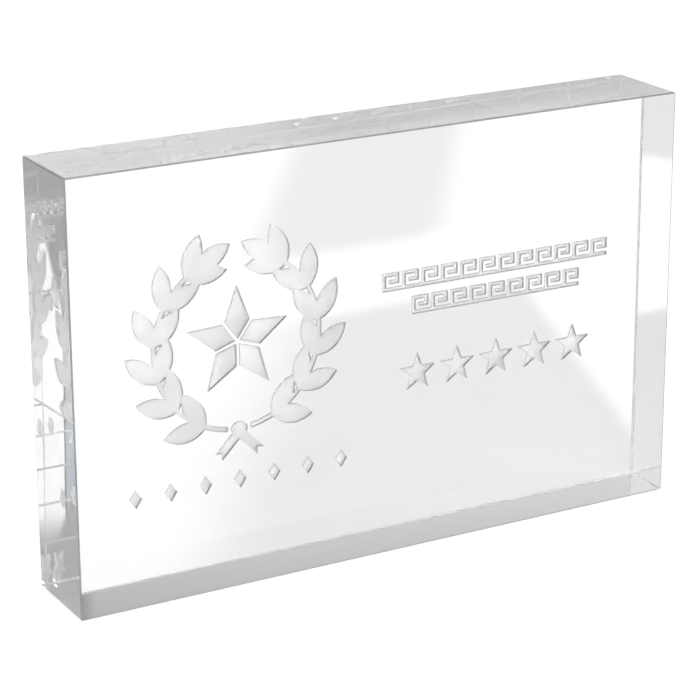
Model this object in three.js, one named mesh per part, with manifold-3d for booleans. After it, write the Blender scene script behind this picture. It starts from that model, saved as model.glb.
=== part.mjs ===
// Clear acrylic block: one solid cast slab that stands on its long polished edge. A wreath, a star, a row
// of lozenges, two key-pattern bands and a row of stars are engraved into its rear face, and read through
// the front. Each engraved recess is filled with white frost enamel, set back a little from the rear face.
//
// Millimetres. X runs to the viewer's right, Y from the front face to the rear one and Z up. The origin is
// the middle of the base. The pieces are drawn as the viewer sees them, x right, y up and z towards the
// viewer, and the exported group is turned upright at the end.

import * as THREE from "three";
import { mergeVertices } from "three/addons/utils/BufferGeometryUtils.js";
import Module from "manifold-3d";

const wasm = await Module();
wasm.setup();

// The block, 7 by 4 1/2 by 1 inch
const blockWidth = 177.8;
const blockHeight = 114.3;
const blockThickness = 25.4;
const arrisSize = 0.5; // the polished arris round the front and rear faces
const arrisFacets = 4;
const cornerEase = 0.3; // what the four short edges are rounded by beyond the arris

// How every mark is engraved and filled
const engravingDepth = 1;
const fillClearance = 0.25; // between the enamel and the recess wall
const bondGap = 0.3; // between the enamel and the recess floor
const fillSetback = 0.2; // how far the enamel lies below the rear face

// Where the marks stand on the block: the emblem fills the room between its margins, the message the rest
const emblemSideMargin = 21; // from the block's left end
const emblemTopMargin = 22; // from the block's top
const messageMargin = 10.5; // from the block's right end
const gutter = 10.5; // between the emblem and the message

// The row of lozenges below the wreath
const lozengeWidth = 3.4;
const lozengeHeight = 5;
const lozengeFoot = 20.4; // from the base
const lozengeRise = 3.5; // from the lozenges to the wreath
const lozengeCount = 7;

// The wreath: two branches on a circle that is open at the top. Shares are of the emblem's radius.
const leafLengthShare = 0.37;
const leafWidthShare = 0.17;
const leafSpread = 33; // degrees between a leaf and its stem
const leafPairs = 6;
const leafSteps = 7;
const stemWidth = 1.3;
const stemSteps = 20;
const topOpening = 3.2; // between the two topmost leaves

// The knot that ties the two branches, and its ribbon tails
const knotWidthShare = 0.15;
const knotHeightShare = 0.12;
const knotGap = 1; // between the knot and each stem
const tailLengthShare = 0.27;
const tailWidthShare = 0.085;
const tailNotchShare = 0.045;
const tailDroop = 45; // degrees below level

// The five-pointed stars: one large star in five kites, and a row of small plain ones
const starPoints = 5;
const starWaist = 0.42; // a star's inner radius as a share of its outer one
const centreStarGap = 1; // between the large star and the leaves round it
const centreStarDivide = 0.9; // the clear line between two kites
const rowStarRadius = 5.6;
const rowStarGap = 1.75;

// The message side: two key-pattern bands over the row of stars
const messageRise = 11.4; // from the middle of the emblem to the top of the upper band
const keyStroke = 1;
const bandGap = 2.4;
const lowerBandInset = 9; // how far each end of the lower band stays inside the upper band's room
const starRowGap = 11; // from the lower band to the row of stars

const halfTurn = Math.PI;
const radians = THREE.MathUtils.degToRad;
const rearFace = -blockThickness / 2;

// The emblem's place, worked out from the margins
const emblemFoot = lozengeFoot + lozengeHeight + lozengeRise;
const emblemRadius = (blockHeight - emblemTopMargin - emblemFoot) / 2;
const emblemX = emblemSideMargin + emblemRadius - blockWidth / 2;
const emblemMiddle = emblemFoot + emblemRadius;

// The wreath's circle carries the stems, and the leaves' tips reach out to the emblem's radius
const leafLength = leafLengthShare * emblemRadius;
const leafWidth = leafWidthShare * emblemRadius;
const leafAcross = leafLength * Math.sin(radians(leafSpread));
const leafAlong = leafLength * Math.cos(radians(leafSpread));
const stemRadius = Math.sqrt(emblemRadius ** 2 - leafAlong ** 2) - leafAcross;
const centreStarRadius = stemRadius - leafAcross - centreStarGap;
const knotWidth = knotWidthShare * emblemRadius;
const knotHeight = knotHeightShare * emblemRadius;
const stemStart = -Math.acos((knotWidth / 2 + knotGap) / stemRadius);
const stemEnd =
  Math.acos(topOpening / 2 / Math.hypot(stemRadius, leafLength)) - Math.atan2(leafLength, stemRadius);

// The message's place, worked out from what the emblem leaves
const messageLeft = emblemX + emblemRadius + gutter;
const messageRight = blockWidth / 2 - messageMargin;
const messageX = (messageLeft + messageRight) / 2;
const messageTop = emblemMiddle + messageRise;

const acrylic = new THREE.MeshStandardMaterial({
  color: 0xf1f4f5,
  roughness: 0.03,
  metalness: 0,
  transparent: true,
  opacity: 0.3,
});
const frostEnamel = new THREE.MeshStandardMaterial({ color: 0xe3e5e6, roughness: 0.6, metalness: 0 });

// A geometry as a solid that can be cut and joined, and a solid as a geometry again
function solidOf(geometry) {
  const bare = geometry.index ? geometry.toNonIndexed() : geometry.clone();
  bare.deleteAttribute("normal");
  bare.deleteAttribute("uv");
  const merged = mergeVertices(bare, 1e-4);
  return new wasm.Manifold(
    new wasm.Mesh({
      numProp: 3,
      vertProperties: new Float32Array(merged.attributes.position.array),
      triVerts: new Uint32Array(merged.index.array),
    }),
  );
}

function geometryOf(solid) {
  const mesh = solid.getMesh();
  const geometry = new THREE.BufferGeometry();
  geometry.setAttribute("position", new THREE.BufferAttribute(mesh.vertProperties, 3));
  geometry.setIndex(new THREE.BufferAttribute(mesh.triVerts, 1));
  return geometry;
}

function joined(solids) {
  return solids.reduce((whole, solid) => whole.add(solid));
}

// An outline moved inwards: each corner goes to where its two edges meet once both have moved by distance
function insetOutline(outline, distance) {
  const inward = THREE.ShapeUtils.area(outline) > 0 ? 1 : -1;
  const count = outline.length;
  return outline.map((corner, index) => {
    const before = corner.clone().sub(outline[(index + count - 1) % count]).normalize();
    const after = outline[(index + 1) % count].clone().sub(corner).normalize();
    const normalBefore = new THREE.Vector2(-before.y, before.x).multiplyScalar(inward);
    const normalAfter = new THREE.Vector2(-after.y, after.x).multiplyScalar(inward);
    const bisector = normalBefore.clone().add(normalAfter).normalize();
    return corner.clone().addScaledVector(bisector, distance / bisector.dot(normalBefore));
  });
}

function placed(outline, angle, x, y) {
  const origin = new THREE.Vector2();
  const shift = new THREE.Vector2(x, y);
  return outline.map((point) => point.clone().rotateAround(origin, angle).add(shift));
}

function mirrored(outline) {
  return outline.map((point) => new THREE.Vector2(-point.x, point.y));
}

// A flat slab of an outline, from one depth to another
function slab(outline, back, front) {
  const geometry = new THREE.ExtrudeGeometry(new THREE.Shape(outline), {
    depth: front - back,
    bevelEnabled: false,
  });
  geometry.translate(0, 0, back);
  return solidOf(geometry);
}

// One mark is a list of outlines that overlap each other. Its cutter makes the recess and stands out as
// far behind the rear face, and its fill lies in the recess with a clearance all round.
function cutterOf(outlines) {
  const back = rearFace - engravingDepth;
  const front = rearFace + engravingDepth;
  return joined(outlines.map((outline) => slab(outline, back, front)));
}

function fillOf(outlines) {
  const back = rearFace + fillSetback;
  const front = rearFace + engravingDepth - bondGap;
  return joined(outlines.map((outline) => slab(insetOutline(outline, fillClearance), back, front)));
}

function rectangle(left, bottom, right, top) {
  return [
    new THREE.Vector2(left, bottom),
    new THREE.Vector2(right, bottom),
    new THREE.Vector2(right, top),
    new THREE.Vector2(left, top),
  ];
}

function onCircle(radius, angle) {
  return new THREE.Vector2(radius * Math.cos(angle), radius * Math.sin(angle));
}

// A pointed leaf that grows along +x, its root buried in the stem
function leafOutline() {
  const root = -stemWidth / 2;
  const fullness = (2 / 3) * leafWidth;
  const nearRoot = leafLength / 4;
  const nearTip = (2 / 3) * leafLength;
  const leaf = new THREE.Shape();
  leaf.moveTo(root, 0);
  leaf.bezierCurveTo(nearRoot, -fullness, nearTip, -fullness, leafLength, 0);
  leaf.bezierCurveTo(nearTip, fullness, nearRoot, fullness, root, 0);
  return leaf.getPoints(leafSteps).slice(0, -1);
}

function stemOutline() {
  const outer = [];
  const inner = [];
  for (let step = 0; step <= stemSteps; step += 1) {
    const angle = THREE.MathUtils.lerp(stemStart, stemEnd, step / stemSteps);
    outer.push(onCircle(stemRadius + stemWidth / 2, angle));
    inner.unshift(onCircle(stemRadius - stemWidth / 2, angle));
  }
  return [...outer, ...inner];
}

// The right-hand branch: its stem, pairs of leaves along it and one leaf at its tip
function branchOutlines() {
  const leaf = leafOutline();
  const outlines = [stemOutline()];
  const addLeaf = (angle, spread) => {
    const root = onCircle(stemRadius, angle);
    outlines.push(placed(leaf, angle + halfTurn / 2 + radians(spread), root.x, root.y));
  };
  for (let pair = 0; pair < leafPairs; pair += 1) {
    const angle = THREE.MathUtils.lerp(stemStart, stemEnd, (pair + 0.7) / leafPairs);
    addLeaf(angle, -leafSpread);
    addLeaf(angle, leafSpread);
  }
  addLeaf(stemEnd, 0);
  return outlines;
}

// The knot with its two notched ribbon tails, at the foot of the wreath
function knotOutlines() {
  const knot = new THREE.Shape().absellipse(0, 0, knotWidth / 2, knotHeight / 2, 0, 2 * halfTurn);
  const oval = knot.getPoints(leafSteps).slice(0, -1);
  const length = tailLengthShare * emblemRadius;
  const half = (tailWidthShare * emblemRadius) / 2;
  const tail = [
    new THREE.Vector2(0, -half),
    new THREE.Vector2(length, -half),
    new THREE.Vector2(length - tailNotchShare * emblemRadius, 0),
    new THREE.Vector2(length, half),
    new THREE.Vector2(0, half),
  ];
  const rightTail = placed(tail, -radians(tailDroop), 0, -knotHeight / 4);
  return [oval, rightTail, mirrored(rightTail)].map((outline) => placed(outline, 0, 0, -stemRadius));
}

function starOutline(radius) {
  const corners = [];
  for (let corner = 0; corner < 2 * starPoints; corner += 1) {
    const reach = corner % 2 ? radius * starWaist : radius;
    corners.push(onCircle(reach, halfTurn / 2 + (corner * halfTurn) / starPoints));
  }
  return corners;
}

// One kite of the large star: its middle, two waist corners and the tip, less half a dividing line
function kiteOutline(point) {
  const star = starOutline(centreStarRadius);
  const tip = 2 * point;
  const last = star.length;
  const kite = [new THREE.Vector2(), star[(tip + last - 1) % last], star[tip], star[(tip + 1) % last]];
  return insetOutline(kite, centreStarDivide / 2);
}

function lozengeOutline() {
  return [
    new THREE.Vector2(0, -lozengeHeight / 2),
    new THREE.Vector2(lozengeWidth / 2, 0),
    new THREE.Vector2(0, lozengeHeight / 2),
    new THREE.Vector2(-lozengeWidth / 2, 0),
  ];
}

// A running key pattern, counted in strokes: hooks that rise from one base line, five strokes high and
// wide and one stroke apart. Each box is its left, low, right and high side.
const hookBoxes = [
  [0, 0, 1, 5],
  [0, 4, 5, 5],
  [4, 2, 5, 5],
  [2, 2, 5, 3],
];
const hookPitch = 6 * keyStroke;
const bandHeight = 5 * keyStroke;

function keyBandOutlines(hooks) {
  const length = hooks * hookPitch - keyStroke;
  const outlines = [rectangle(0, 0, length, keyStroke)];
  for (let hook = 0; hook < hooks; hook += 1) {
    for (const box of hookBoxes) {
      const sides = box.map((strokes) => strokes * keyStroke);
      outlines.push(placed(rectangle(...sides), 0, hook * hookPitch, 0));
    }
  }
  return outlines.map((outline) => placed(outline, 0, -length / 2, -bandHeight));
}

// The emblem's marks by name, round the middle of the emblem
function emblemMarks() {
  const branch = branchOutlines();
  const found = [
    { name: "wreath_branch_right_fill", outlines: branch },
    { name: "wreath_branch_left_fill", outlines: branch.map(mirrored) },
    { name: "wreath_knot_fill", outlines: knotOutlines() },
  ];
  for (let point = 0; point < starPoints; point += 1) {
    found.push({ name: `centre_star_kite_${point + 1}_fill`, outlines: [kiteOutline(point)] });
  }
  const span = 2 * emblemRadius - lozengeWidth;
  const height = lozengeFoot + lozengeHeight / 2 - emblemMiddle;
  for (let index = 0; index < lozengeCount; index += 1) {
    const x = span * (index / (lozengeCount - 1) - 0.5);
    found.push({ name: `lozenge_${index + 1}_fill`, outlines: [placed(lozengeOutline(), 0, x, height)] });
  }
  return found;
}

// The message's marks by name, about its middle and down from its top
function messageMarks() {
  const width = messageRight - messageLeft;
  const hooksIn = (room) => Math.max(1, Math.floor((room + keyStroke) / hookPitch));
  const upperHooks = hooksIn(width);
  const lowerHooks = hooksIn(width - 2 * lowerBandInset);
  const lowerTop = -bandHeight - bandGap;
  const lowerBand = keyBandOutlines(lowerHooks).map((outline) => placed(outline, 0, 0, lowerTop));
  const found = [
    { name: "key_band_upper_fill", outlines: keyBandOutlines(upperHooks) },
    { name: "key_band_lower_fill", outlines: lowerBand },
  ];
  const starWidth = 2 * rowStarRadius * Math.cos(halfTurn / 2 / starPoints);
  const starPitch = starWidth + rowStarGap;
  const starHeight = lowerTop - bandHeight - starRowGap - rowStarRadius;
  const stars = Math.max(1, Math.floor((width + rowStarGap) / starPitch));
  for (let index = 0; index < stars; index += 1) {
    const x = (index - (stars - 1) / 2) * starPitch;
    const outline = placed(starOutline(rowStarRadius), 0, x, starHeight);
    found.push({ name: `row_star_${index + 1}_fill`, outlines: [outline] });
  }
  return found;
}

// Every mark with its outlines where they lie on the block
function marksOnBlock() {
  const shifted = (marks, x, height) =>
    marks.map(({ name, outlines }) => ({
      name,
      outlines: outlines.map((outline) => placed(outline, 0, x, height)),
    }));
  return [
    ...shifted(emblemMarks(), emblemX, emblemMiddle),
    ...shifted(messageMarks(), messageX, messageTop),
  ];
}

// The slab with every edge eased, standing on the plane y = 0
function blankSolid() {
  const low = arrisSize + cornerEase;
  const high = blockHeight - low;
  const half = blockWidth / 2 - low;
  const outline = new THREE.Shape();
  outline.absarc(half, low, cornerEase, -halfTurn / 2, 0);
  outline.absarc(half, high, cornerEase, 0, halfTurn / 2);
  outline.absarc(-half, high, cornerEase, halfTurn / 2, halfTurn);
  outline.absarc(-half, low, cornerEase, halfTurn, (3 * halfTurn) / 2);
  outline.closePath();
  const geometry = new THREE.ExtrudeGeometry(outline, {
    depth: blockThickness - 2 * arrisSize,
    curveSegments: arrisFacets / 2,
    bevelEnabled: true,
    bevelSize: arrisSize,
    bevelThickness: arrisSize,
    bevelSegments: arrisFacets,
  });
  geometry.translate(0, 0, arrisSize - blockThickness / 2);
  return solidOf(geometry);
}

function namedMesh(name, solid, material) {
  const mesh = new THREE.Mesh(geometryOf(solid), material);
  mesh.name = name;
  return mesh;
}

const award = new THREE.Group();
const everyMark = marksOnBlock();
const block = blankSolid().subtract(joined(everyMark.map((mark) => cutterOf(mark.outlines))));
award.add(namedMesh("acrylic_block", block, acrylic));

const fills = new THREE.Group();
for (const mark of everyMark) {
  fills.add(namedMesh(mark.name, fillOf(mark.outlines), frostEnamel));
}
award.add(fills);
award.rotation.x = halfTurn / 2;

export default award;
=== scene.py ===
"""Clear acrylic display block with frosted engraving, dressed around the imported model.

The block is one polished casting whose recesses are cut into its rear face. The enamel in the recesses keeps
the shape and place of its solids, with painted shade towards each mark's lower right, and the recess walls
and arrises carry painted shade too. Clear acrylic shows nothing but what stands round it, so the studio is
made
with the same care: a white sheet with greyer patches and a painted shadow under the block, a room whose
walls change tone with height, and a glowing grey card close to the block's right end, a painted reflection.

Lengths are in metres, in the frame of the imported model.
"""

import logging
import math
from dataclasses import dataclass
from enum import Enum
from typing import ClassVar

import bmesh
import bpy
from mathutils import Euler, Matrix, Vector


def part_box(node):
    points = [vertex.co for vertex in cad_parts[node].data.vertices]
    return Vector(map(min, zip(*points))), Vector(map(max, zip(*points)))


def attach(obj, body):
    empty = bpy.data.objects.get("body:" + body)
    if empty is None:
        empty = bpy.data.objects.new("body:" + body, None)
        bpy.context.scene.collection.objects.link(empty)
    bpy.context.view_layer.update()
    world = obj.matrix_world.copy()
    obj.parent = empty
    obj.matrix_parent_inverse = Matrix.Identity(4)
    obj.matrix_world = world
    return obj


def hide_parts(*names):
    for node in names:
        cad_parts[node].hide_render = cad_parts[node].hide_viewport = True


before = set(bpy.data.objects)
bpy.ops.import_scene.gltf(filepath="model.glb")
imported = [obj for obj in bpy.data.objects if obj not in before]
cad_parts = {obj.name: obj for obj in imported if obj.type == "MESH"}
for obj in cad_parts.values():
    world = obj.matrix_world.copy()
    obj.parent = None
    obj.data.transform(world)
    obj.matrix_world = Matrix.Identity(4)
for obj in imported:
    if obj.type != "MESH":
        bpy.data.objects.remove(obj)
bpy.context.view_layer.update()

LOG = logging.getLogger("display_block")
MM = 0.001
ACRYLIC_INDEX = 1.49
BODY = "root"
BLOCK_NODE = "acrylic_block"
SAME_PLACE = 0.001 * MM
SQUARE = 0.9999
FACING = 0.9

Colour = tuple[float, float, float, float]
BLACK: Colour = (0.0, 0.0, 0.0, 1.0)
WHITE: Colour = (1.0, 1.0, 1.0, 1.0)


class MarkFamily(Enum):
    """The families of engraved marks, by the start of their nodes' names."""

    WREATH = "wreath_"
    CENTRE_STAR = "centre_star_"
    LOZENGE = "lozenge_"
    KEY_BAND = "key_band_"
    ROW_STAR = "row_star_"

    @property
    def nodes(self) -> list[str]:
        """The names of this family's nodes, in order."""
        return sorted(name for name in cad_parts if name.startswith(self.value))


class NodeDesk:
    """Adds and joins shader nodes in one node tree."""

    def __init__(self, tree: bpy.types.NodeTree) -> None:
        """Keeps the tree.

        Args:
            tree: The node tree that nodes are added to.
        """
        self.tree = tree

    def add(self, kind: str, **settings: object) -> bpy.types.Node:
        """Adds a node and sets its properties.

        Args:
            kind: The node's type name.
            settings: The node's properties by name.

        Returns:
            The new node.
        """
        node = self.tree.nodes.new(kind)
        for name, value in settings.items():
            setattr(node, name, value)
        return node

    def feed(self, node: bpy.types.Node, socket: str | int, value: object) -> None:
        """Sets one input of a node, or joins another node's output to it.

        Args:
            node: The node that takes the value.
            socket: The input's name or number.
            value: A number, a vector, a colour or an output socket.
        """
        if isinstance(value, bpy.types.NodeSocket):
            self.tree.links.new(value, node.inputs[socket])
        else:
            node.inputs[socket].default_value = value

    def maths(self, operation: str, *values: object, clamp: bool = False) -> bpy.types.NodeSocket:
        """Adds a Math node.

        Args:
            operation: What the node does.
            values: Its inputs in order.
            clamp: Whether the result stays from 0 to 1.

        Returns:
            The result's socket.
        """
        node = self.add("ShaderNodeMath", operation=operation, use_clamp=clamp)
        for number, value in enumerate(values):
            self.feed(node, number, value)
        return node.outputs[0]

    def ease(
        self, value: object, start: float, end: float, low: object, high: object
    ) -> bpy.types.NodeSocket:
        """Maps a value smoothly onto another range.

        Args:
            value: The value that is mapped.
            start: Where the result leaves low.
            end: Where the result reaches high.
            low: The result up to start.
            high: The result from end on.

        Returns:
            The result's socket.
        """
        node = self.add("ShaderNodeMapRange", interpolation_type="SMOOTHSTEP")
        sockets = ("Value", "From Min", "From Max", "To Min", "To Max")
        for socket, number in zip(sockets, (value, start, end, low, high)):
            self.feed(node, socket, number)
        return node.outputs["Result"]

    def blend(self, share: object, first: object, second: object) -> bpy.types.NodeSocket:
        """Mixes two colours.

        Args:
            share: How much of the second colour shows.
            first: The first colour.
            second: The second colour.

        Returns:
            The mixed colour's socket.
        """
        node = self.add("ShaderNodeMix", data_type="RGBA")
        colours_in = [socket for socket in node.inputs if socket.type == "RGBA"]
        self.feed(node, 0, share)
        for socket, value in zip(colours_in, (first, second)):
            self.feed(node, list(node.inputs).index(socket), value)
        return next(socket for socket in node.outputs if socket.type == "RGBA")

    def either(self, share: object, first: object, second: object) -> bpy.types.NodeSocket:
        """Mixes two shaders.

        Args:
            share: How much of the second shader shows.
            first: The first shader.
            second: The second shader.

        Returns:
            The mixed shader's socket.
        """
        node = self.add("ShaderNodeMixShader")
        for number, value in enumerate((share, first, second)):
            self.feed(node, number, value)
        return node.outputs[0]

    def axes(self, vector: object) -> bpy.types.bpy_prop_collection:
        """Splits a vector.

        Args:
            vector: The vector's socket.

        Returns:
            The three sockets for x, y and z.
        """
        node = self.add("ShaderNodeSeparateXYZ")
        self.feed(node, 0, vector)
        return node.outputs

    def place(self, scale: tuple[float, float, float] = (1.0, 1.0, 1.0)) -> bpy.types.NodeSocket:
        """The object's own coordinates, stretched.

        Args:
            scale: How much each axis is stretched.

        Returns:
            The coordinates' socket.
        """
        mapping = self.add("ShaderNodeMapping")
        self.feed(mapping, "Vector", self.add("ShaderNodeTexCoord").outputs["Object"])
        self.feed(mapping, "Scale", scale)
        return mapping.outputs[0]

    def noise(self, vector: object, scale: object, detail: float = 2.0) -> bpy.types.NodeSocket:
        """Adds a noise texture.

        Args:
            vector: The coordinates' socket.
            scale: The texture's scale.
            detail: How many finer layers it has.

        Returns:
            The noise value's socket.
        """
        node = self.add("ShaderNodeTexNoise")
        self.feed(node, "Vector", vector)
        self.feed(node, "Scale", scale)
        self.feed(node, "Detail", detail)
        return node.outputs[0]

    def group(self, tree: bpy.types.NodeTree, **values: object) -> bpy.types.Node:
        """Places a node group with its own values.

        Args:
            tree: The group's tree.
            values: The group's inputs by name, with low lines for spaces.

        Returns:
            The group's node.
        """
        node = self.add("ShaderNodeGroup", node_tree=tree)
        for name, value in values.items():
            self.feed(node, name.replace("_", " "), value)
        return node


class SharedEffects:
    """The effects that the finishes use, each built once as a node group."""

    TOOTH_DETAIL: ClassVar[float] = 3.0
    CLOUD_HEIGHT: ClassVar[float] = 0.4
    CLOUD_SPAN: ClassVar[tuple[float, float]] = (0.35, 0.65)
    STROKE_STRETCH: ClassVar[tuple[float, float, float]] = (1.0, 1.0, 3.0)
    STROKE_SCALE: ClassVar[float] = 22.0
    STROKE_DETAIL: ClassVar[float] = 3.0
    STROKE_SPAN: ClassVar[tuple[float, float]] = (0.5, 0.72)

    @staticmethod
    def _new(name: str, inputs: dict[str, float], outputs: tuple[str, ...]) -> bpy.types.NodeTree:
        """Starts a group with number sockets.

        Args:
            name: The group's name.
            inputs: Its inputs with their first values.
            outputs: Its outputs.

        Returns:
            The group's tree.
        """
        tree = bpy.data.node_groups.new(name, "ShaderNodeTree")
        for socket, value in inputs.items():
            made = tree.interface.new_socket(name=socket, in_out="INPUT", socket_type="NodeSocketFloat")
            made.default_value = value
        for socket in outputs:
            tree.interface.new_socket(name=socket, in_out="OUTPUT", socket_type="NodeSocketFloat")
        return tree

    @classmethod
    def fine_grain(cls) -> bpy.types.NodeTree:
        """Two layers of grain: a fine tooth and the soft clouds it sits in.

        Returns:
            The group, with inputs Tooth and Cloud, both in grains per metre, and outputs Height and Clouds.
        """
        tree = cls._new("FineGrain", {"Tooth": 4000.0, "Cloud": 300.0}, ("Height", "Clouds"))
        desk = NodeDesk(tree)
        given = desk.add("NodeGroupInput")
        out = desk.add("NodeGroupOutput")
        tooth = desk.noise(desk.place(), given.outputs["Tooth"], cls.TOOTH_DETAIL)
        clouds = desk.noise(desk.place(), given.outputs["Cloud"])
        desk.feed(out, "Height", desk.maths("MULTIPLY_ADD", clouds, cls.CLOUD_HEIGHT, tooth))
        desk.feed(out, "Clouds", desk.ease(clouds, *cls.CLOUD_SPAN, 0.0, 1.0))
        return tree

    @classmethod
    def wipe_haze(cls) -> bpy.types.NodeTree:
        """The faint haze that a cloth leaves on a polished face, in long soft strokes.

        Returns:
            The group, with inputs Clean and Hazed, both roughnesses, and the output Roughness.
        """
        tree = cls._new("WipeHaze", {"Clean": 0.0, "Hazed": 0.05}, ("Roughness",))
        desk = NodeDesk(tree)
        given = desk.add("NodeGroupInput")
        out = desk.add("NodeGroupOutput")
        strokes = desk.noise(desk.place(cls.STROKE_STRETCH), cls.STROKE_SCALE, cls.STROKE_DETAIL)
        share = desk.ease(strokes, *cls.STROKE_SPAN, 0.0, 1.0)
        span = desk.maths("SUBTRACT", given.outputs["Hazed"], given.outputs["Clean"])
        desk.feed(out, "Roughness", desk.maths("MULTIPLY_ADD", span, share, given.outputs["Clean"]))
        return tree


def bare_material(name: str) -> tuple[bpy.types.Material, NodeDesk]:
    """Starts a material without nodes.

    Args:
        name: The material's name.

    Returns:
        The material and the desk for its nodes.
    """
    material = bpy.data.materials.new(name)
    material.use_nodes = True
    material.node_tree.nodes.clear()
    return material, NodeDesk(material.node_tree)


def new_material(name: str) -> tuple[bpy.types.Material, NodeDesk, bpy.types.Node]:
    """Starts a material with one Principled shader.

    Args:
        name: The material's name.

    Returns:
        The material, the desk for its nodes and the shader.
    """
    material, desk = bare_material(name)
    shader = desk.add("ShaderNodeBsdfPrincipled")
    desk.feed(desk.add("ShaderNodeOutputMaterial"), "Surface", shader.outputs[0])
    return material, desk, shader


def cool_grey(tone: float) -> Colour:
    """A grey with the faint blue cast that cut acrylic has."""
    return (tone, tone + 0.003, tone + 0.006, 1.0)


@dataclass(frozen=True)
class PolishedAcrylic:
    """Cast acrylic, polished clear. The narrow edge faces keep the polisher's streaks along their length."""

    tint: Colour = (0.99, 0.995, 0.996, 1.0)
    tint_deep: Colour = (0.982, 0.99, 0.993, 1.0)
    drift_scale: float = 9.0
    refraction: float = ACRYLIC_INDEX
    clean: float = 0.0
    hazed: float = 0.02
    streaks: tuple[float, float, float] = (3.0, 700.0, 3.0)
    streak_detail: float = 3.0
    streak_depth: float = 0.004 * MM

    def build(self, wipe_haze: bpy.types.NodeTree) -> bpy.types.Material:
        """Makes the material.

        Args:
            wipe_haze: The group that hazes a polished face.

        Returns:
            The material.
        """
        material, desk, shader = new_material("polished_acrylic")
        haze = desk.group(wipe_haze, Clean=self.clean, Hazed=self.hazed)
        drift = desk.noise(desk.place(), self.drift_scale)
        bump = desk.add("ShaderNodeBump")
        desk.feed(bump, "Strength", 1.0)
        desk.feed(bump, "Distance", self.streak_depth)
        desk.feed(bump, "Height", desk.noise(desk.place(self.streaks), 1.0, self.streak_detail))
        desk.feed(shader, "Base Color", desk.blend(drift, self.tint, self.tint_deep))
        desk.feed(shader, "Roughness", haze.outputs["Roughness"])
        desk.feed(shader, "Transmission Weight", 1.0)
        desk.feed(shader, "IOR", self.refraction)
        desk.feed(shader, "Normal", bump.outputs[0])
        return material


@dataclass(frozen=True)
class TooledAcrylic:
    """Acrylic left matt by a tool: clear on the recesses' floors, grey on the arrises. The walls' dark grey
    is painted shade, and so is the arrises' darker grey as seen from outside.

    Attributes:
        name: The material's name.
        tint: Its colour.
        tint_deep: The colour of its clouds.
        roughness: Its roughness.
        clearness: How much of the light goes through.
        painted_shade_outside: How bright the colour stays as seen from outside the block, where painted
            shade darkens it. From inside it is 1.
        refraction: The acrylic's index.
        grain: The tooth and the clouds, in grains per metre.
        tooth_strength: How strongly the tooth tilts the surface.
        tooth_depth: How deep the tooth is.
    """

    name: str
    tint: Colour
    tint_deep: Colour
    roughness: float
    clearness: float = 1.0
    painted_shade_outside: float = 1.0
    refraction: float = ACRYLIC_INDEX
    grain: tuple[float, float] = (3500.0, 260.0)
    tooth_strength: float = 0.5
    tooth_depth: float = 0.02 * MM

    def build(self, fine_grain: bpy.types.NodeTree) -> bpy.types.Material:
        """Makes the material.

        Args:
            fine_grain: The group that gives the matt tooth.

        Returns:
            The material.
        """
        material, desk, shader = new_material(self.name)
        tooth, cloud = self.grain
        grain = desk.group(fine_grain, Tooth=tooth, Cloud=cloud)
        bump = desk.add("ShaderNodeBump")
        desk.feed(bump, "Strength", self.tooth_strength)
        desk.feed(bump, "Distance", self.tooth_depth)
        desk.feed(bump, "Height", grain.outputs["Height"])
        colour = desk.blend(grain.outputs["Clouds"], self.tint, self.tint_deep)
        # Painted shade: the colour is darker where the face is seen from outside the block.
        inside = desk.add("ShaderNodeNewGeometry").outputs["Backfacing"]
        painted_shade_factor = desk.ease(inside, 0.0, 1.0, self.painted_shade_outside, 1.0)
        desk.feed(shader, "Base Color", desk.blend(painted_shade_factor, BLACK, colour))
        desk.feed(shader, "Roughness", self.roughness)
        desk.feed(shader, "Transmission Weight", self.clearness)
        desk.feed(shader, "IOR", self.refraction)
        desk.feed(shader, "Normal", bump.outputs[0])
        return material


RECESS_FLOOR = TooledAcrylic(
    name="engraved_floor",
    tint=(0.995, 0.995, 0.995, 1.0),
    tint_deep=(0.975, 0.976, 0.98, 1.0),
    roughness=0.3,
)
# Painted shade: the walls' dark grey paints the dark rims beside the marks.
RECESS_WALL_PAINTED_SHADE = TooledAcrylic(
    name="engraved_wall_painted_shade",
    tint=cool_grey(0.34),
    tint_deep=cool_grey(0.26),
    roughness=0.4,
)
# Partly a sanded finish and partly painted shade: the grey arrises are darker again as seen from outside,
# which paints the dark lines along the block's edges.
SANDED_ARRIS_AND_PAINTED_SHADE = TooledAcrylic(
    name="sanded_arris_and_painted_shade",
    tint=cool_grey(0.7),
    tint_deep=cool_grey(0.6),
    roughness=0.4,
    clearness=0.35,
    painted_shade_outside=0.36,
)


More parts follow.
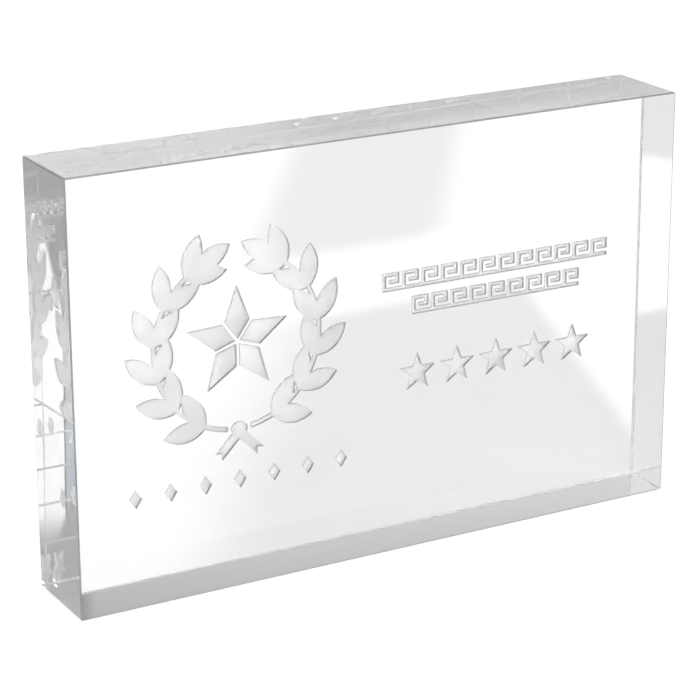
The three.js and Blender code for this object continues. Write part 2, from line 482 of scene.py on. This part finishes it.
@dataclass(frozen=True)
class FrostEnamel:
    """Matt white enamel with a fine tooth, with painted shade that lays it a little greyer towards the lower
    right of each mark.
    """

    white: Colour = (0.92, 0.92, 0.92, 1.0)
    # The grey is the painted shade at a mark's lower right.
    grey: Colour = (0.64, 0.642, 0.645, 1.0)
    cloud_share: float = 0.3
    roughness: float = 0.6
    grain: tuple[float, float] = (5000.0, 140.0)
    tooth_strength: float = 0.4
    tooth_depth: float = 0.03 * MM

    def build(self, fine_grain: bpy.types.NodeTree) -> bpy.types.Material:
        """Makes the material.

        Args:
            fine_grain: The group that gives the tooth and the clouds.

        Returns:
            The material.
        """
        material, desk, shader = new_material("matt_white_enamel")
        tooth, cloud = self.grain
        grain = desk.group(fine_grain, Tooth=tooth, Cloud=cloud)
        bump = desk.add("ShaderNodeBump")
        desk.feed(bump, "Strength", self.tooth_strength)
        desk.feed(bump, "Distance", self.tooth_depth)
        desk.feed(bump, "Height", grain.outputs["Height"])
        # Painted shade: the fill's shade attribute lays the enamel greyer towards its lower right.
        lie = desk.add("ShaderNodeAttribute", attribute_name=EnamelMarks.shade_name).outputs["Fac"]
        clouds = grain.outputs["Clouds"]
        drift = desk.maths("MULTIPLY_ADD", clouds, self.cloud_share, -self.cloud_share / 2.0)
        share = desk.maths("ADD", lie, drift, clamp=True)
        desk.feed(shader, "Base Color", desk.blend(share, self.white, self.grey))
        desk.feed(shader, "Roughness", self.roughness)
        desk.feed(shader, "Normal", bump.outputs[0])
        return material


class FaceKind(Enum):
    """The kinds of face that the block has, by their number in the list of its materials."""

    OUTSIDE = 0
    FLOOR = 1
    WALL = 2
    ARRIS = 3


def merged_copy(node: str) -> bmesh.types.BMesh:
    """A CAD node's mesh as a bmesh, with the vertices that lie in one place merged.

    Args:
        node: The node's name.

    Returns:
        The bmesh.
    """
    shape = bmesh.new()
    shape.from_mesh(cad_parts[node].data)
    bmesh.ops.remove_doubles(shape, verts=shape.verts, dist=SAME_PLACE)
    shape.normal_update()
    return shape


def lies_square(face: bmesh.types.BMFace) -> bool:
    """Whether a face lies square to one of the axes."""
    return max(abs(value) for value in face.normal) > SQUARE


def finished_piece(
    name: str, shape: bmesh.types.BMesh, materials: list[bpy.types.Material], node: str
) -> bpy.types.Object:
    """Turns a bmesh into a piece that stands for a CAD node.

    Args:
        name: The piece's name.
        shape: Its bmesh, which is freed.
        materials: Its materials in order.
        node: The CAD node it stands for.

    Returns:
        The piece.
    """
    mesh = bpy.data.meshes.new(name)
    shape.to_mesh(mesh)
    shape.free()
    for material in materials:
        mesh.materials.append(material)
    piece = bpy.data.objects.new(name, mesh)
    bpy.context.scene.collection.objects.link(piece)
    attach(piece, BODY)
    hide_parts(node)
    return piece


@dataclass
class PolishedBlock:
    """The casting: the CAD block with a finer, smooth arris, and its recesses' cut faces told apart.

    Attributes:
        engraving: How deep the recesses are.
        edge_room: How far all recesses stay from the block's outline.
        slack: The tolerance on a depth.
        arris: How wide the arrises of the CAD block are.
        corner: How far its rounded corners reach.
        fine_arris: How wide the arrises are here.
        fine_corner: How far the rounded corners reach here.
        flat_turn: The turn up to which two faces pass for one flat face.
        arris_turn: The turn up to which two facets of an arris run on smoothly.
    """

    engraving: float = 1.0 * MM
    edge_room: float = 3.0 * MM
    slack: float = 0.05 * MM
    arris: float = 0.5 * MM
    corner: float = 0.8 * MM
    fine_arris: float = 0.36 * MM
    fine_corner: float = 0.43 * MM
    flat_turn: float = math.radians(1.0)
    arris_turn: float = math.radians(50.0)

    def build(self, materials: list[bpy.types.Material]) -> bpy.types.Object:
        """Makes the block's piece and lets it stand for the CAD block.

        Args:
            materials: The finishes of the outside, the recess floors, the recess walls and the arrises.

        Returns:
            The block's object.
        """
        shape = merged_copy(BLOCK_NODE)
        low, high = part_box(BLOCK_NODE)
        self._fine_arris(shape, low, high)
        for face in shape.faces:
            face.material_index = self._kind(face, low, high).value
            face.smooth = True
        for edge in shape.edges:
            edge.smooth = self._is_round(edge)
        return finished_piece("polished_block", shape, materials, BLOCK_NODE)

    def _fine_arris(self, shape: bmesh.types.BMesh, low: Vector, high: Vector) -> None:
        """Draws every arris in towards its edge, with the flat faces kept in their planes.

        Args:
            shape: The block's bmesh.
            low: The block's lowest corner.
            high: The block's highest corner.
        """
        for vert in shape.verts:
            for axis in range(3):
                for plane in (low[axis], high[axis]):
                    depth = vert.co[axis] - plane
                    if abs(depth) < self.corner + self.slack:
                        vert.co[axis] = plane + math.copysign(self._fine_depth(abs(depth)), depth)
        shape.normal_update()

    def _fine_depth(self, depth: float) -> float:
        """How far from an outer plane a point of an arris or a corner lies once both are finer.

        Args:
            depth: How far it lies from the plane on the CAD block.

        Returns:
            The new distance.
        """
        if depth <= self.arris:
            return depth * self.fine_arris / self.arris
        share = (depth - self.arris) / (self.corner - self.arris)
        return self.fine_arris + share * (self.fine_corner - self.fine_arris)

    def _kind(self, face: bmesh.types.BMFace, low: Vector, high: Vector) -> FaceKind:
        """Tells which part of the block a face is.

        Args:
            face: The face.
            low: The block's lowest corner.
            high: The block's highest corner.

        Returns:
            The face's kind.
        """
        middle = face.calc_center_median()
        room = self.edge_room
        away = all(low[axis] + room < middle[axis] < high[axis] - room for axis in (0, 2))
        sunk = high.y - self.engraving - self.slack < middle.y < high.y - self.slack
        if away and sunk:
            return FaceKind.FLOOR if abs(face.normal.y) > FACING else FaceKind.WALL
        return FaceKind.OUTSIDE if lies_square(face) else FaceKind.ARRIS

    def _is_round(self, edge: bmesh.types.BMEdge) -> bool:
        """Tells whether the surface runs on smoothly over an edge.

        Args:
            edge: The edge.

        Returns:
            True between two facets of an arris, and inside one flat face.
        """
        if len(edge.link_faces) != 2:
            return False
        angle = edge.calc_face_angle(math.pi)
        if angle < self.flat_turn:
            return True
        return not any(lies_square(face) for face in edge.link_faces) and angle < self.arris_turn


@dataclass
class EnamelMarks:
    """The enamel in the recesses, in families of marks, each fill with softly rounded edges and painted
    shade towards its lower right.

    Attributes:
        families: The families of marks in the order they are filled.
        edge_round: How far the rims are rounded.
        rim_segments: How many facets round a rim.
        same_face: The turn up to which the solid's triangles are joined into one face.
        rim_turn: The turn past which an edge is a rim.
        smooth_turn: The turn up to which the surface runs on smoothly.
        across_share: How much of a mark's painted shade grows from left to right. The rest grows downwards.
        fine: The families with strokes so fine that they get less painted shade and stay paler.
        fine_shade: How grey the painted shade makes those.
    """

    shade_name: ClassVar[str] = "shade"
    families: tuple[MarkFamily, ...] = tuple(MarkFamily)
    edge_round: float = 0.16 * MM
    rim_segments: int = 2
    same_face: float = math.radians(0.5)
    rim_turn: float = math.radians(80.0)
    smooth_turn: float = math.radians(40.0)
    across_share: float = 0.65
    fine: tuple[MarkFamily, ...] = (MarkFamily.KEY_BAND,)
    fine_shade: float = 0.2

    def build(self, enamel: bpy.types.Material) -> int:
        """Makes a piece for every fill.

        Args:
            enamel: The enamel's material.

        Returns:
            How many fills there are.
        """
        count = 0
        for family in self.families:
            for node in family.nodes:
                self._fill(node, self.fine_shade if family in self.fine else 1.0, enamel)
                count += 1
            LOG.info("%s: %d fills", family.name.lower(), len(family.nodes))
        return count

    def _fill(self, node: str, shade: float, enamel: bpy.types.Material) -> bpy.types.Object:
        """Makes one fill: a merged copy with rounded rims, with painted shade from its upper left to its
        lower right.

        Args:
            node: The CAD fill it stands for.
            shade: How grey the painted shade makes its lower right corner.
            enamel: The enamel's material.

        Returns:
            The fill.
        """
        shape = merged_copy(node)
        bmesh.ops.dissolve_limit(shape, angle_limit=self.same_face, verts=shape.verts, edges=shape.edges)
        rims = [edge for edge in shape.edges if edge.calc_face_angle(0.0) > self.rim_turn]
        rims = [edge for edge in rims if any(abs(face.normal.y) > FACING for face in edge.link_faces)]
        bmesh.ops.bevel(
            shape, geom=rims, offset=self.edge_round, affect="EDGES", segments=self.rim_segments,
            profile=0.5, material=-1, clamp_overlap=True,
        )
        for edge in shape.edges:
            edge.smooth = edge.calc_face_angle(0.0) < self.smooth_turn
        for face in shape.faces:
            face.smooth = True
        low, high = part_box(node)
        width, height = high.x - low.x, high.z - low.z
        # Painted shade: each vertex gets a share of grey that grows towards the fill's lower right.
        layer = shape.verts.layers.float.new(self.shade_name)
        for vert in shape.verts:
            across = (vert.co.x - low.x) / width
            down = (high.z - vert.co.z) / height
            vert[layer] = shade * (self.across_share * across + (1.0 - self.across_share) * down)
        name = node.replace("_fill", "_enamel")
        return finished_piece(name, shape, [enamel], node)


@dataclass(frozen=True)
class SoftEdge:
    """A straight soft edge on a flat sheet, past which the tone differs.

    Attributes:
        across: How far the direction that leads over the edge points along the sheet's first axis.
        away: How far it points along the second axis.
        start: The distance along that direction at which the edge begins.
        end: The distance at which it ends.
    """

    across: float
    away: float
    start: float
    end: float

    def share(self, desk: NodeDesk, x: object, y: object) -> bpy.types.NodeSocket:
        """How far a place lies past the edge.

        Args:
            desk: The material's desk.
            x: The place along the first axis.
            y: The place along the second axis.

        Returns:
            A socket that runs from 0 before the edge to 1 past it.
        """
        across = desk.maths("MULTIPLY", x, self.across)
        return desk.ease(desk.maths("MULTIPLY_ADD", y, self.away, across), self.start, self.end, 0.0, 1.0)


@dataclass(frozen=True)
class GreyPatch:
    """A greyer part of the sheet, past all of its soft edges.

    Attributes:
        grey: The patch's tone.
        edges: Its soft edges.
        turned: Whether it shows only to light that has turned inside the block, as the bands at its rim do.
        straight_depth: The ray depth of light that crossed the block without a turn, and a half more.
    """

    grey: float
    edges: tuple[SoftEdge, ...]
    turned: bool = False
    straight_depth: ClassVar[float] = 2.5

    def share(self, desk: NodeDesk, x: object, y: object) -> bpy.types.NodeSocket:
        """How much of the patch shows at a place.

        Args:
            desk: The material's desk.
            x: The place to the right.
            y: The place to the rear.

        Returns:
            A socket that runs from 0 outside the patch to 1 inside it.
        """
        first, *others = (edge.share(desk, x, y) for edge in self.edges)
        if self.turned:
            depth = desk.add("ShaderNodeLightPath").outputs["Ray Depth"]
            others.append(desk.maths("GREATER_THAN", depth, self.straight_depth))
        for other in others:
            first = desk.maths("MULTIPLY", first, other)
        return first


FAR_LEFT = GreyPatch(
    0.78,
    (
        SoftEdge(-1.0, 0.5636, 0.285, 0.315),
    ),
)
# Painted shade: the sheet is greyer behind the block and to its right, where the light falls off near it.
BEHIND_RIGHT = GreyPatch(
    0.83,
    (
        SoftEdge(0.827, -0.562, -0.07, -0.02),
        SoftEdge(0.0, 1.0, -0.01, 0.02),
        SoftEdge(0.0, -1.0, -0.193, -0.173),
        SoftEdge(-0.937, 0.348, -0.094, -0.082),
    ),
)
FAR_MIDDLE = GreyPatch(
    0.85,
    (
        SoftEdge(0.827, -0.562, -0.08, -0.055),
        SoftEdge(-0.827, 0.562, -0.012, 0.012),
        SoftEdge(0.0, 1.0, 0.235, 0.265),
    ),
)
RIGHT_BAND = GreyPatch(
    0.76,
    (
        SoftEdge(0.0, 1.0, 0.0, 0.012),
        SoftEdge(0.0, -1.0, -0.14, -0.125),
    ),
    turned=True,
)


@dataclass(frozen=True)
class PaperSweep:
    """The white sheet that the block stands on. Places on it are to the right and to the rear, in metres.

    Attributes:
        white: The tone of its white as the acrylic shows it.
        level: How bright the light makes a white sheet.
        glow_share: How much of the tone is left in full shadow.
        camera_white: The tone that the camera sees directly.
        camera_glow_share: How much of that is left in full shadow.
        plain: The tone that throws light on the block.
        under: The painted shadow under the block, as tones to the left and to the right.
        painted_shadow_fade: From where to where the painted shadow's one tone passes into the other.
        patches: The greyer parts that the acrylic shows, one of them painted shade near the block.
    """

    white: float = 1.03
    level: float = 1.02
    glow_share: float = 0.65
    camera_white: float = 1.08
    camera_glow_share: float = 0.55
    plain: float = 0.95
    under: tuple[float, float] = (0.71, 0.52)
    painted_shadow_fade: tuple[float, float] = (0.005, 0.04)
    patches: tuple[GreyPatch, ...] = (FAR_LEFT, BEHIND_RIGHT, FAR_MIDDLE, RIGHT_BAND)

    def build(self) -> bpy.types.Material:
        """Makes the paper, which the camera sees as white with the block's soft shadow, and the acrylic sees
        with greyer patches and a painted shadow under the block.

        Returns:
            The material.
        """
        material, desk = bare_material("white_paper")
        rays = desk.add("ShaderNodeLightPath").outputs
        seen = desk.maths("MAXIMUM", rays["Is Glossy Ray"], rays["Is Transmission Ray"])
        x, y, _ = desk.axes(desk.add("ShaderNodeTexCoord").outputs["Object"])
        through = self._lit(desk, self._tone(desk, x, y), self.glow_share)
        # Painted shadow: darker matt tones on the sheet under the block, which only the acrylic shows.
        under = self._matt(desk, desk.ease(x, *self.painted_shadow_fade, *self.under))
        through = desk.either(self._off_foot(desk, x, y), under, through)
        beyond = desk.either(seen, self._matt(desk, self.plain), through)
        to_camera = self._lit(desk, self.camera_white, self.camera_glow_share)
        whole = desk.either(rays["Is Camera Ray"], beyond, to_camera)
        desk.feed(desk.add("ShaderNodeOutputMaterial"), "Surface", whole)
        return material

    @staticmethod
    def _matt(desk: NodeDesk, tone: object) -> bpy.types.NodeSocket:
        """A matt shader of one tone.

        Args:
            desk: The material's desk.
            tone: The tone.

        Returns:
            The shader's socket.
        """
        matt = desk.add("ShaderNodeBsdfDiffuse")
        desk.feed(matt, "Color", tone if isinstance(tone, bpy.types.NodeSocket) else (tone, tone, tone, 1.0))
        return matt.outputs[0]

    def _lit(self, desk: NodeDesk, tone: object, glow_share: float) -> bpy.types.NodeSocket:
        """A shader that shows a tone in open light, and keeps part of it in shadow.

        Args:
            desk: The material's desk.
            tone: The tone in open light.
            glow_share: How much of the tone is left in full shadow.

        Returns:
            The shader's socket.
        """
        glow = desk.add("ShaderNodeEmission")
        desk.feed(glow, "Strength", desk.maths("MULTIPLY", tone, glow_share))
        both = desk.add("ShaderNodeAddShader")
        desk.feed(both, 0, self._matt(desk, desk.maths("MULTIPLY", tone, (1.0 - glow_share) / self.level)))
        desk.feed(both, 1, glow.outputs[0])
        return both.outputs[0]

    def _off_foot(self, desk: NodeDesk, x: object, y: object) -> bpy.types.NodeSocket:
        """A mask of the sheet round the block, outside the painted shadow under it.

        Args:
            desk: The material's desk.
            x: The place to the right.
            y: The place to the rear.

        Returns:
            A socket that is 0 under the block and 1 elsewhere.
        """
        _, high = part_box(BLOCK_NODE)
        reached = [desk.maths("ABSOLUTE", value) for value in (x, y)]
        outside = [desk.maths("GREATER_THAN", value, reach) for value, reach in zip(reached, high.xy)]
        return desk.maths("MAXIMUM", *outside)

    def _tone(self, desk: NodeDesk, x: object, y: object) -> bpy.types.NodeSocket:
        """The sheet's tone from place to place: white, with its greyer patches.

        Args:
            desk: The material's desk.
            x: The place to the right.
            y: The place to the rear.

        Returns:
            The tone's socket.
        """
        tone = self.white
        for patch in self.patches:
            tone = desk.ease(patch.share(desk, x, y), 0.0, 1.0, tone, patch.grey)
        return tone


@dataclass(frozen=True)
class EndCard:
    """A grey card that glows close to the block's right end, with a slanted lower edge and a paler leg: a
    painted reflection.

    Only light that leaves the block through that end meets it, so from the photograph's side it shows in the
    left end alone. Places on it are to the rear and up, in metres.

    Attributes:
        gap: How far it stands from the block.
        reach: How far it reaches to the front and to the rear.
        height: How high it is.
        grey: Its colour above the slanted edge.
        slant: That edge.
        leg: The colour of the leg, which is the card's rear half down to the floor.
        leg_edge: The leg's front edge.
        fold: The colour of the dark fold along that edge.
        fold_end: Where the fold passes into the leg.
    """

    gap: float = 0.5 * MM
    reach: float = 14.0 * MM
    height: float = 112.0 * MM
    grey: Colour = (0.27, 0.272, 0.275, 1.0)
    slant: SoftEdge = SoftEdge(1.9, 1.0, 30.0 * MM, 37.0 * MM)
    leg: Colour = (0.4, 0.43, 0.49, 1.0)
    leg_edge: SoftEdge = SoftEdge(1.0, 0.0, -0.1 * MM, 0.3 * MM)
    fold: Colour = (0.1, 0.101, 0.105, 1.0)
    fold_end: SoftEdge = SoftEdge(1.0, 0.0, 1.0 * MM, 1.5 * MM)

    def build(self) -> bpy.types.Object:
        """Makes the card.

        Returns:
            The card's object.
        """
        _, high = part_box(BLOCK_NODE)
        mesh = bpy.data.meshes.new("end_card")
        shape = bmesh.new()
        # A square with a side of 1 is stretched to the card's size and stood up.
        bmesh.ops.create_grid(shape, x_segments=1, y_segments=1, size=0.5)
        bmesh.ops.scale(shape, verts=shape.verts, vec=(self.height, 2.0 * self.reach, 1.0))
        bmesh.ops.rotate(shape, verts=shape.verts, matrix=Matrix.Rotation(math.radians(90.0), 3, "Y"))
        bmesh.ops.translate(shape, verts=shape.verts, vec=(high.x + self.gap, 0.0, self.height / 2.0))
        shape.to_mesh(mesh)
        shape.free()
        mesh.materials.append(self._paper())
        card = bpy.data.objects.new("end_card", mesh)
        card.visible_camera = False
        card.visible_diffuse = False
        card.visible_glossy = False
        card.visible_shadow = False
        bpy.context.scene.collection.objects.link(card)
        return card

    def _paper(self) -> bpy.types.Material:
        """The card's glowing even grey, its paler leg and the dark fold between them, all painted
        reflection.

        Returns:
            The material.
        """
        material, desk = bare_material("end_card")
        material.cycles.emission_sampling = "NONE"
        _, away, up = desk.axes(desk.add("ShaderNodeTexCoord").outputs["Object"])
        on_card = self.slant.share(desk, away, up)
        on_leg = self.leg_edge.share(desk, away, up)
        leg = desk.blend(self.fold_end.share(desk, away, up), self.fold, self.leg)
        # Painted reflection: the card glows in its own tones, which the acrylic shows in the left end.
        glow = desk.add("ShaderNodeEmission")
        desk.feed(glow, "Color", desk.blend(on_card, leg, self.grey))
        clear = desk.add("ShaderNodeBsdfTransparent").outputs[0]
        whole = desk.either(desk.maths("MAXIMUM", on_card, on_leg), clear, glow.outputs[0])
        desk.feed(desk.add("ShaderNodeOutputMaterial"), "Surface", whole)
        return material


@dataclass(frozen=True)
class StudioRoom:
    """What stands round the sweep, as a tone for each direction.

    Heights are in degrees above level, and sides are the sine of the turn to the right from straight behind.
    A pair of them is where one tone begins to pass into the next, and where it has.

    Attributes:
        white: The white behind the block, and of the strip in front of it.
        wing: The tone low down on either side behind the block.
        wing_side: The sides between the white and the wings' low tone.
        wing_grey: The wings' tone higher up.
        wing_fade: The heights between those two.
        left_side: The sides between the left wing and the far left.
        left_wing: The even tone of the far left.
        middle_side: The sides between the middle and the wings.
        middle_grey: The middle's tone higher up, behind the block and in front of it.
        middle_fade: The heights between the white and that tone.
        front_wall: The tone low down in front of the block.
        strip_start: The heights between that wall and the white strip.
        front_bright: The bright tone high up in front of the block.
        bright_start: The heights at which it begins.
        ceiling: The ceiling's tone.
        ceiling_start: The heights at which it begins.
        behind_side: The cosines of the turn between the front and the rear.
        cast: The faint colour of the room's light.
    """

    white: float = 1.0
    wing: float = 0.75
    wing_side: tuple[float, float] = (0.42, 0.58)
    wing_grey: float = 0.42
    wing_fade: tuple[float, float] = (19.0, 25.5)
    left_side: tuple[float, float] = (-0.45, -0.52)
    left_wing: float = 0.73
    middle_side: tuple[float, float] = (0.388, 0.397)
    middle_grey: float = 0.28
    middle_fade: tuple[float, float] = (22.0, 22.9)
    front_wall: float = 0.5
    strip_start: tuple[float, float] = (17.5, 19.5)
    front_bright: float = 1.35
    bright_start: tuple[float, float] = (25.5, 28.5)
    ceiling: float = 1.0
    ceiling_start: tuple[float, float] = (40.0, 60.0)
    behind_side: tuple[float, float] = (-0.3, 0.2)
    cast: Colour = (0.99, 1.0, 1.003, 1.0)

    def build(self) -> bpy.types.World:
        """Makes the world: white to the camera, and the room to the light and to the acrylic.

        Returns:
            The world.
        """
        world = bpy.data.worlds.new("studio_room")
        world.use_nodes = True
        world.node_tree.nodes.clear()
        desk = NodeDesk(world.node_tree)
        x, y, z = desk.axes(desk.add("ShaderNodeTexCoord").outputs["Generated"])
        height = desk.maths("DEGREES", desk.maths("ARCSINE", z))
        level = desk.maths("SQRT", desk.maths("MULTIPLY_ADD", x, x, desk.maths("MULTIPLY", y, y)))
        side = desk.maths("DIVIDE", x, level)
        to_rear = desk.ease(desk.maths("DIVIDE", y, level), *self.behind_side, 0.0, 1.0)
        low = desk.ease(to_rear, 0.0, 1.0, self._front(desk, height), self._behind(desk, height, side))
        tone = desk.ease(height, *self.ceiling_start, low, self.ceiling)
        camera = desk.add("ShaderNodeLightPath").outputs["Is Camera Ray"]
        glow = desk.add("ShaderNodeBackground")
        desk.feed(glow, "Color", desk.blend(camera, self.cast, WHITE))
        desk.feed(glow, "Strength", desk.ease(camera, 0.0, 1.0, tone, 1.0))
        desk.feed(desk.add("ShaderNodeOutputWorld"), "Surface", glow.outputs[0])
        return world

    def _behind(self, desk: NodeDesk, height: object, side: object) -> bpy.types.NodeSocket:
        """The tone behind the block: white low down, greyer higher up and to the sides, even far left.

        Args:
            desk: The world's desk.
            height: The height above level.
            side: The sine of the turn to the right from straight behind.

        Returns:
            The tone's socket.
        """
        left = desk.ease(side, *self.left_side, 0.0, 1.0)
        side = desk.maths("ABSOLUTE", side)
        low = desk.ease(side, *self.wing_side, self.white, self.wing)
        wing = desk.ease(height, *self.wing_fade, low, self.wing_grey)
        middle = desk.ease(height, *self.middle_fade, self.white, self.middle_grey)
        both = desk.ease(side, *self.middle_side, middle, wing)
        return desk.ease(left, 0.0, 1.0, both, self.left_wing)

    def _front(self, desk: NodeDesk, height: object) -> bpy.types.NodeSocket:
        """The tone in front of the block: a grey wall, a white strip, a grey one and a bright one over it.

        Args:
            desk: The world's desk.
            height: The height above level.

        Returns:
            The tone's socket.
        """
        tone = desk.ease(height, *self.strip_start, self.front_wall, self.white)
        tone = desk.ease(height, *self.middle_fade, tone, self.middle_grey)
        return desk.ease(height, *self.bright_start, tone, self.front_bright)


@dataclass
class Studio:
    """The sheet, the card at the block's end, the room and one large soft lamp."""

    sweep_radius: float = 9.0
    sweep_sides: int = 96
    sweep_drop: float = 0.2 * MM
    lamp_place: tuple[float, float, float] = (-0.75, -1.55, 1.35)
    lamp_size: float = 0.8
    lamp_power: float = 15.0
    crossings: int = 32

    def build(self) -> None:
        """Makes the studio and sets how often light may cross the block."""
        self._sweep(PaperSweep().build())
        EndCard().build()
        bpy.context.scene.world = StudioRoom().build()
        self._lamp()
        self._light_paths()

    def _sweep(self, paper: bpy.types.Material) -> None:
        """Lays the sheet that the block stands on, a hair below its foot.

        Args:
            paper: The sheet's material.
        """
        mesh = bpy.data.meshes.new("paper_sweep")
        shape = bmesh.new()
        bmesh.ops.create_circle(
            shape, cap_ends=True, segments=self.sweep_sides, radius=self.sweep_radius
        )
        bmesh.ops.translate(shape, verts=shape.verts, vec=(0.0, 0.0, -self.sweep_drop))
        shape.to_mesh(mesh)
        shape.free()
        mesh.materials.append(paper)
        sweep = bpy.data.objects.new("paper_sweep", mesh)
        bpy.context.scene.collection.objects.link(sweep)

    def _lamp(self) -> None:
        """Hangs the lamp up on the left, in front of the block, out of the acrylic's sight."""
        lamp = bpy.data.lights.new("soft_lamp", "AREA")
        lamp.shape = "SQUARE"
        lamp.size = self.lamp_size
        lamp.energy = self.lamp_power
        holder = bpy.data.objects.new("soft_lamp", lamp)
        holder.location = self.lamp_place
        holder.rotation_mode = "QUATERNION"
        holder.rotation_quaternion = (-holder.location).to_track_quat("-Z", "Y")
        holder.visible_camera = False
        bpy.context.scene.collection.objects.link(holder)

    def _light_paths(self) -> None:
        """Lets light cross the block as often as it does in solid acrylic, and shows colours plainly."""
        cycles = bpy.context.scene.cycles
        cycles.max_bounces = self.crossings
        cycles.glossy_bounces = self.crossings
        cycles.transmission_bounces = self.crossings
        cycles.blur_glossy = 0.0
        bpy.context.scene.view_settings.view_transform = "Standard"


@dataclass
class PhotoCamera:
    """The camera at the photograph's viewing angle. Azimuth is from +Y towards +X, elevation from level."""

    place: tuple[float, float, float] = (-0.32071, -0.56088, 0.27243)
    azimuth: float = 29.42
    elevation: float = 18.773
    roll: float = -0.227
    lens: float = 133.26
    sensor: float = 36.0
    clip: tuple[float, float] = (0.01, 100.0)

    def build(self) -> bpy.types.Object:
        """Makes the camera and gives it to the scene.

        Returns:
            The camera's object.
        """
        data = bpy.data.cameras.new("photo_camera")
        data.lens = self.lens
        data.sensor_width = self.sensor
        data.clip_start, data.clip_end = self.clip
        camera = bpy.data.objects.new("photo_camera", data)
        level = Euler((math.radians(90.0 - self.elevation), 0.0, -math.radians(self.azimuth)), "XYZ")
        turn = level.to_matrix().to_4x4() @ Matrix.Rotation(math.radians(self.roll), 4, "Z")
        camera.matrix_world = Matrix.Translation(self.place) @ turn
        bpy.context.scene.collection.objects.link(camera)
        bpy.context.scene.camera = camera
        return camera


def main() -> None:
    """Builds the camera, the studio, the block and its enamel, in that order."""
    logging.basicConfig(level=logging.INFO, format="%(name)s: %(message)s")
    PhotoCamera().build()
    Studio().build()
    fine_grain = SharedEffects.fine_grain()
    wipe_haze = SharedEffects.wipe_haze()
    cut = [finish.build(fine_grain) for finish in (RECESS_FLOOR, RECESS_WALL_PAINTED_SHADE, SANDED_ARRIS_AND_PAINTED_SHADE)]
    block = PolishedBlock().build([PolishedAcrylic().build(wipe_haze), *cut])
    LOG.info("%s: %d faces", block.name, len(block.data.polygons))
    count = EnamelMarks().build(FrostEnamel().build(fine_grain))
    LOG.info("enamel: %d fills", count)


if __name__ == "__main__":
    main()
